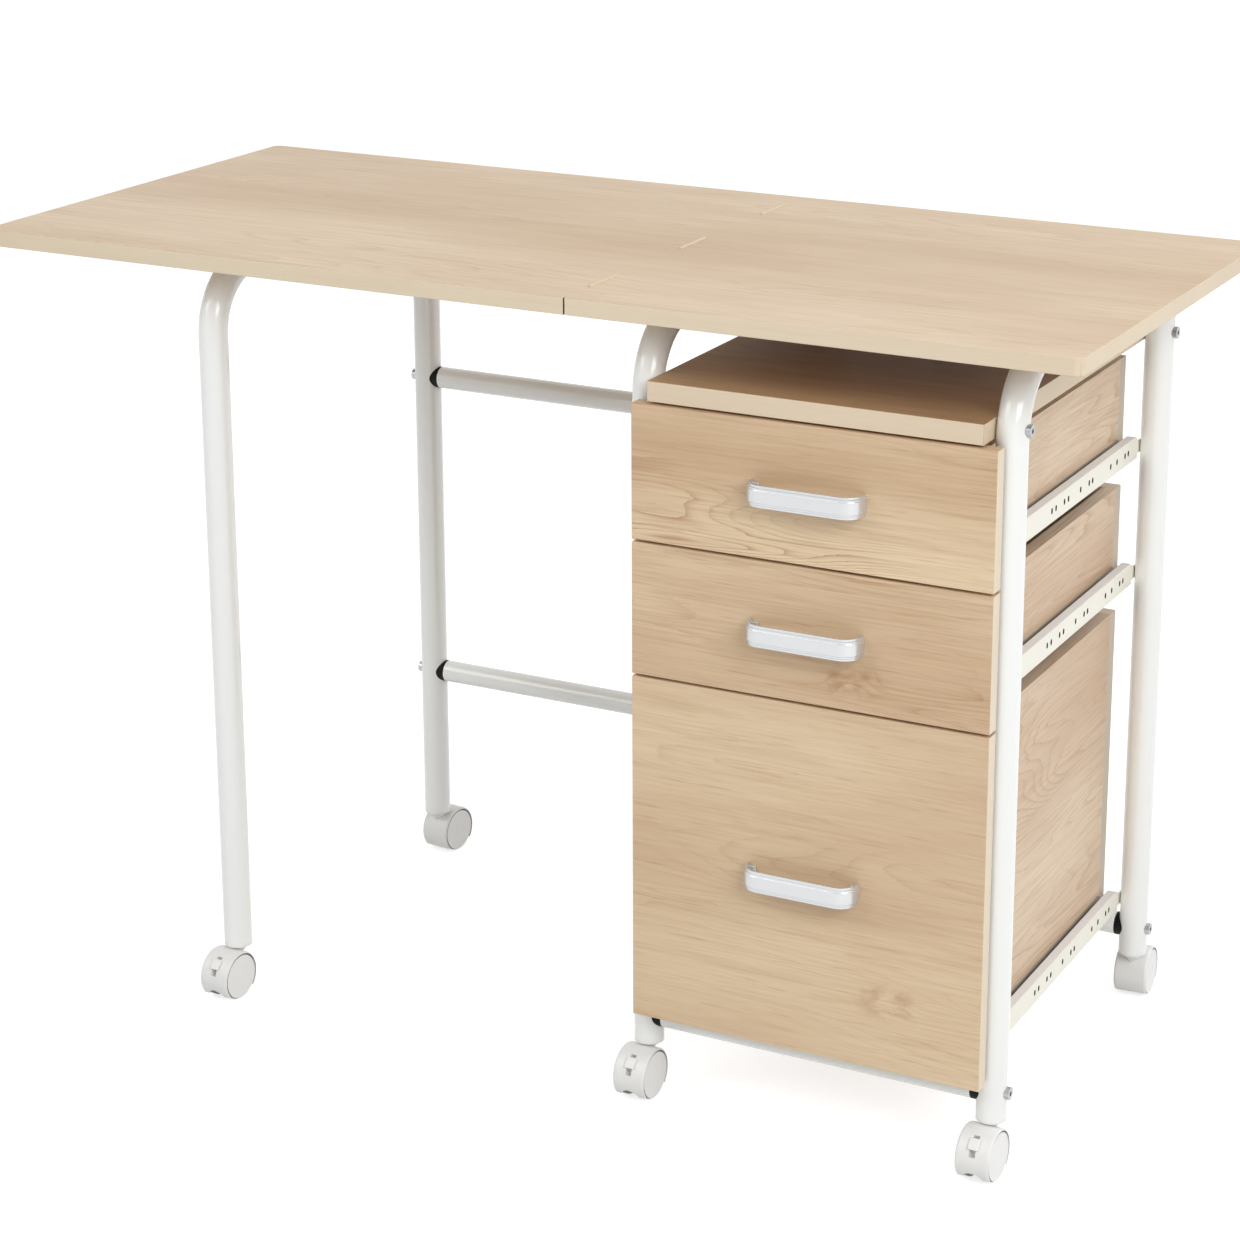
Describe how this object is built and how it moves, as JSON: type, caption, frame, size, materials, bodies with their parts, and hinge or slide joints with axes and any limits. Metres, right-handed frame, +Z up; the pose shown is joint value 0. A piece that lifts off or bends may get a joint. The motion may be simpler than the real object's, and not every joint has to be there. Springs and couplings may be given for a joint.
{
  "type": "folding desk",
  "caption": "Folding desk on castors: fixed leaf over a drawer pedestal with a shelf, folding leaf held up by a swinging tube frame.",
  "frame": {"origin": "centre of the open tabletop in plan, on the floor", "axes": "+X towards the drawer pedestal along the desk, +Y to the back, +Z up"},
  "size_m": [1.066, 0.48, 0.7418],
  "materials": {
    "top_wood": "satin",
    "box_wood": "satin",
    "shelf_wood": "satin",
    "white_paint": "satin",
    "white_plastic": "gloss",
    "cream_paint": "satin",
    "black_plastic": "matte",
    "zinc_steel": "satin",
    "handle_metal": "satin",
    "tread_plastic": "matte"
  },
  "bodies": {
    "pedestal": {"right_leaf": "top_wood", "hinge_leaves_fixed": "zinc_steel", "hinge_pins": "zinc_steel", "left_front_tube": "white_paint", "right_front_tube": "white_paint", "left_rear_tube": "white_paint", "right_rear_tube": "white_paint", "cross_tube_front": "white_paint", "cross_tube_rear": "white_paint", "cross_saddles": "black_plastic", "frame_bolts": "zinc_steel", "shelf_board": "shelf_wood", "top_screws": "zinc_steel", "pivot_collars": "white_paint", "castor_sockets": "white_plastic", "slide_rails": "cream_paint", "slide_rivets": "zinc_steel"},
    "folding_leaf": {"left_leaf": "top_wood", "hinge_leaves_moving": "zinc_steel"},
    "swing_frame": {"gate_front_tube": "white_paint", "gate_rear_tube": "white_paint", "gate_rail_upper": "white_paint", "gate_rail_lower": "white_paint", "gate_saddles": "black_plastic", "gate_bolts": "zinc_steel", "gate_sleeves": "white_paint", "gate_plugs": "white_plastic"},
    "top_drawer": {"top_drawer_front": "top_wood", "top_drawer_sides": "box_wood", "top_drawer_back": "box_wood", "top_drawer_base": "box_wood", "top_drawer_handle": "handle_metal", "top_drawer_runners": "cream_paint"},
    "middle_drawer": {"middle_drawer_front": "top_wood", "middle_drawer_sides": "box_wood", "middle_drawer_back": "box_wood", "middle_drawer_base": "box_wood", "middle_drawer_handle": "handle_metal", "middle_drawer_runners": "cream_paint"},
    "bottom_drawer": {"bottom_drawer_front": "top_wood", "bottom_drawer_sides": "box_wood", "bottom_drawer_back": "box_wood", "bottom_drawer_base": "box_wood", "bottom_drawer_handle": "handle_metal", "bottom_drawer_runners": "cream_paint"},
    "gate_front_fork": {"gate_front_hood": "white_plastic"},
    "gate_front_wheelset": {"gate_front_wheels": "tread_plastic"},
    "gate_front_brake": {"gate_front_lever": "white_plastic"},
    "gate_rear_fork": {"gate_rear_hood": "white_plastic"},
    "gate_rear_wheelset": {"gate_rear_wheels": "tread_plastic"},
    "left_front_fork": {"left_front_hood": "white_plastic"},
    "left_front_wheelset": {"left_front_wheels": "tread_plastic"},
    "left_front_brake": {"left_front_lever": "white_plastic"},
    "right_front_fork": {"right_front_hood": "white_plastic"},
    "right_front_wheelset": {"right_front_wheels": "tread_plastic"},
    "right_front_brake": {"right_front_lever": "white_plastic"},
    "left_rear_fork": {"left_rear_hood": "white_plastic"},
    "left_rear_wheelset": {"left_rear_wheels": "tread_plastic"},
    "right_rear_fork": {"right_rear_hood": "white_plastic"},
    "right_rear_wheelset": {"right_rear_wheels": "tread_plastic"}
  },
  "joints": [
    {"name": "leaf_fold", "type": "hinge", "parent": "pedestal", "child": "folding_leaf", "pos_m": [0.076, 0, 0.74015], "axis": [0, -1, 0], "range_deg": [-180, 0]},
    {"name": "frame_swing", "type": "hinge", "parent": "pedestal", "child": "swing_frame", "pos_m": [0.127, 0.187, 0.208], "axis": [0, 0, -1], "range_deg": [-86, 0]},
    {"name": "top_drawer_slide", "type": "slide", "parent": "pedestal", "child": "top_drawer", "axis": [0, -1, 0], "range_m": [0, 0.28]},
    {"name": "middle_drawer_slide", "type": "slide", "parent": "pedestal", "child": "middle_drawer", "axis": [0, -1, 0], "range_m": [0, 0.28]},
    {"name": "bottom_drawer_slide", "type": "slide", "parent": "pedestal", "child": "bottom_drawer", "axis": [0, -1, 0], "range_m": [0, 0.28]},
    {"name": "gate_front_swivel", "type": "hinge", "parent": "swing_frame", "child": "gate_front_fork", "pos_m": [-0.32, -0.185, 0.049], "axis": [0, 0, 1], "continuous": true},
    {"name": "gate_front_roll", "type": "hinge", "parent": "gate_front_fork", "child": "gate_front_wheelset", "pos_m": [-0.32089, -0.20198, 0.022], "axis": [0.9986, -0.0523, 0], "continuous": true},
    {"name": "gate_front_brake_press", "type": "hinge", "parent": "gate_front_fork", "child": "gate_front_brake", "pos_m": [-0.32089, -0.20198, 0.022], "axis": [0.9986, -0.0523, 0], "range_deg": [0, 12]},
    {"name": "gate_rear_swivel", "type": "hinge", "parent": "swing_frame", "child": "gate_rear_fork", "pos_m": [-0.32, 0.187, 0.049], "axis": [0, 0, 1], "continuous": true},
    {"name": "gate_rear_roll", "type": "hinge", "parent": "gate_rear_fork", "child": "gate_rear_wheelset", "pos_m": [-0.31822, 0.20391, 0.022], "axis": [-0.9945, 0.1045, 0], "continuous": true},
    {"name": "left_front_swivel", "type": "hinge", "parent": "pedestal", "child": "left_front_fork", "pos_m": [0.127, -0.185, 0.049], "axis": [0, 0, 1], "continuous": true},
    {"name": "left_front_roll", "type": "hinge", "parent": "left_front_fork", "child": "left_front_wheelset", "pos_m": [0.1267, -0.202, 0.022], "axis": [0.9998, -0.0175, 0], "continuous": true},
    {"name": "left_front_brake_press", "type": "hinge", "parent": "left_front_fork", "child": "left_front_brake", "pos_m": [0.1267, -0.202, 0.022], "axis": [0.9998, -0.0175, 0], "range_deg": [0, 12]},
    {"name": "right_front_swivel", "type": "hinge", "parent": "pedestal", "child": "right_front_fork", "pos_m": [0.457, -0.185, 0.049], "axis": [0, 0, 1], "continuous": true},
    {"name": "right_front_roll", "type": "hinge", "parent": "right_front_fork", "child": "right_front_wheelset", "pos_m": [0.45641, -0.20199, 0.022], "axis": [0.9994, -0.0349, 0], "continuous": true},
    {"name": "right_front_brake_press", "type": "hinge", "parent": "right_front_fork", "child": "right_front_brake", "pos_m": [0.45641, -0.20199, 0.022], "axis": [0.9994, -0.0349, 0], "range_deg": [0, 12]},
    {"name": "left_rear_swivel", "type": "hinge", "parent": "pedestal", "child": "left_rear_fork", "pos_m": [0.127, 0.187, 0.049], "axis": [0, 0, 1], "continuous": true},
    {"name": "left_rear_roll", "type": "hinge", "parent": "left_rear_fork", "child": "left_rear_wheelset", "pos_m": [0.127, 0.204, 0.022], "axis": [-1, 0, 0], "continuous": true},
    {"name": "right_rear_swivel", "type": "hinge", "parent": "pedestal", "child": "right_rear_fork", "pos_m": [0.457, 0.187, 0.049], "axis": [0, 0, 1], "continuous": true},
    {"name": "right_rear_roll", "type": "hinge", "parent": "right_rear_fork", "child": "right_rear_wheelset", "pos_m": [0.45581, 0.20396, 0.022], "axis": [-0.9976, -0.0698, 0], "continuous": true}
  ]
}
